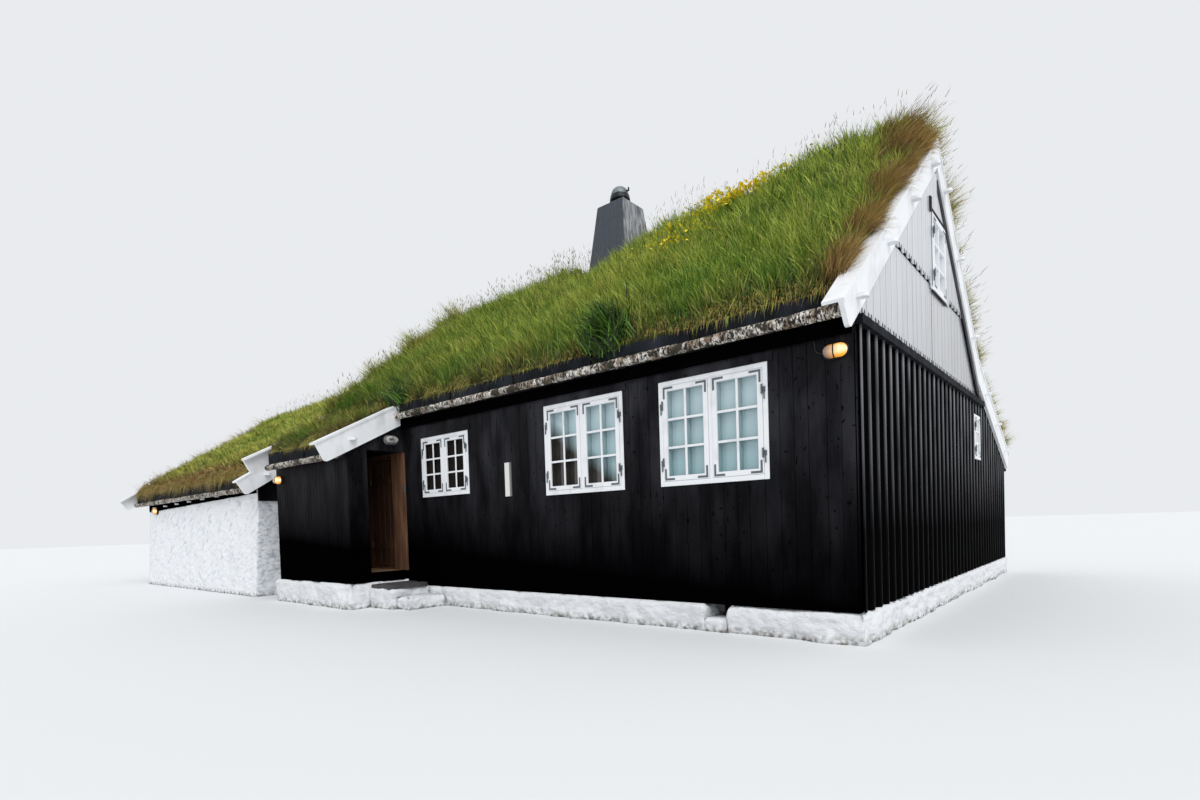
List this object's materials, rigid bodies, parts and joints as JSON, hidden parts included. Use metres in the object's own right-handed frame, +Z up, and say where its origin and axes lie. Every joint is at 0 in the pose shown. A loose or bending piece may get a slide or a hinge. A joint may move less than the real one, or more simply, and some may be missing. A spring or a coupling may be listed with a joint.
{
  "type": "turf house",
  "caption": "Long black-tarred timber house with a living turf roof, white bargeboards, a front lobby and a lower whitewashed stone wing.",
  "frame": {"origin": "centre of the underside of the whole house, on the ground", "axes": "+X along the front to the right gable, +Y from the front to the back, +Z up"},
  "size_m": [17.4939, 9.905, 6.64],
  "materials": {
    "whitewashed_stone": "rough rubble stone, whitewashed",
    "grey_slate": "weathered flat stones",
    "floor_wood": "bare worn boards",
    "tarred_boards": "black tarred upright boards, satin",
    "glossy_boards": "black tarred boards, glossy in the sky light",
    "corrugated_iron": "black painted corrugated iron",
    "roof_boards": "weathered boards",
    "living_turf": "living turf with long grass and small yellow flowers",
    "birch_bark": "rolled birch bark, mottled",
    "white_paint": "white paint, satin",
    "window_glass": "clear glass",
    "chimney_slate": "slate coloured cladding, weathered in streaks",
    "dark_iron": "dark iron",
    "bare_wood": "bare planed pine, aged brown",
    "door_stain": "dark brown stain, worn",
    "lamp_shell": "grey shell with a ribbed pale glass"
  },
  "bodies": {
    "house": {"front_plinth": "whitewashed_stone", "vent_sill": "whitewashed_stone", "side_plinths": "whitewashed_stone", "lobby_plinth": "whitewashed_stone", "door_step": "grey_slate", "floors": "floor_wood", "floor_joists": "floor_wood", "front_wall": "tarred_boards", "over_door_wall": "tarred_boards", "iron_gable": "corrugated_iron", "gable_ledge": "tarred_boards", "gable_boards_lower": "glossy_boards", "gable_boards_upper": "glossy_boards", "left_gable": "tarred_boards", "rear_wall": "whitewashed_stone", "deck_front": "roof_boards", "deck_rear": "roof_boards", "turf_front": "living_turf", "turf_rear": "living_turf", "bark_rolls": "birch_bark", "turf_boards": "roof_boards", "barge_right_front": "white_paint", "barge_right_rear": "white_paint", "barge_left": "white_paint", "lobby_front_wall": "tarred_boards", "lobby_left_wall": "tarred_boards", "lobby_side_wall": "tarred_boards", "over_doorway_wall": "tarred_boards", "lobby_deck": "roof_boards", "lobby_turf": "living_turf", "lobby_bargeboards": "white_paint", "wing_front_wall": "whitewashed_stone", "wing_return_wall": "whitewashed_stone", "wing_link_wall": "whitewashed_stone", "wing_left_wall": "whitewashed_stone", "wing_rear_wall": "whitewashed_stone", "wing_gables": "tarred_boards", "wing_deck": "roof_boards", "wing_turf": "living_turf", "wing_bargeboards": "white_paint", "front_windows": "white_paint", "gable_windows": "white_paint", "front_glass": "window_glass", "gable_glass": "window_glass", "chimney": "chimney_slate", "cowl": "dark_iron", "door_frame": "bare_wood", "doorway_lining": "bare_wood", "wall_lamps": "lamp_shell", "plaque": "white_paint"},
    "door": {"door_leaf": "door_stain"}
  },
  "joints": [
    {"name": "inner_door_hinge", "type": "hinge", "parent": "house", "child": "door", "pos_m": [0.7645, -3.5285, 1.39], "axis": [0, 0, -1], "range_deg": [0, 90]}
  ]
}
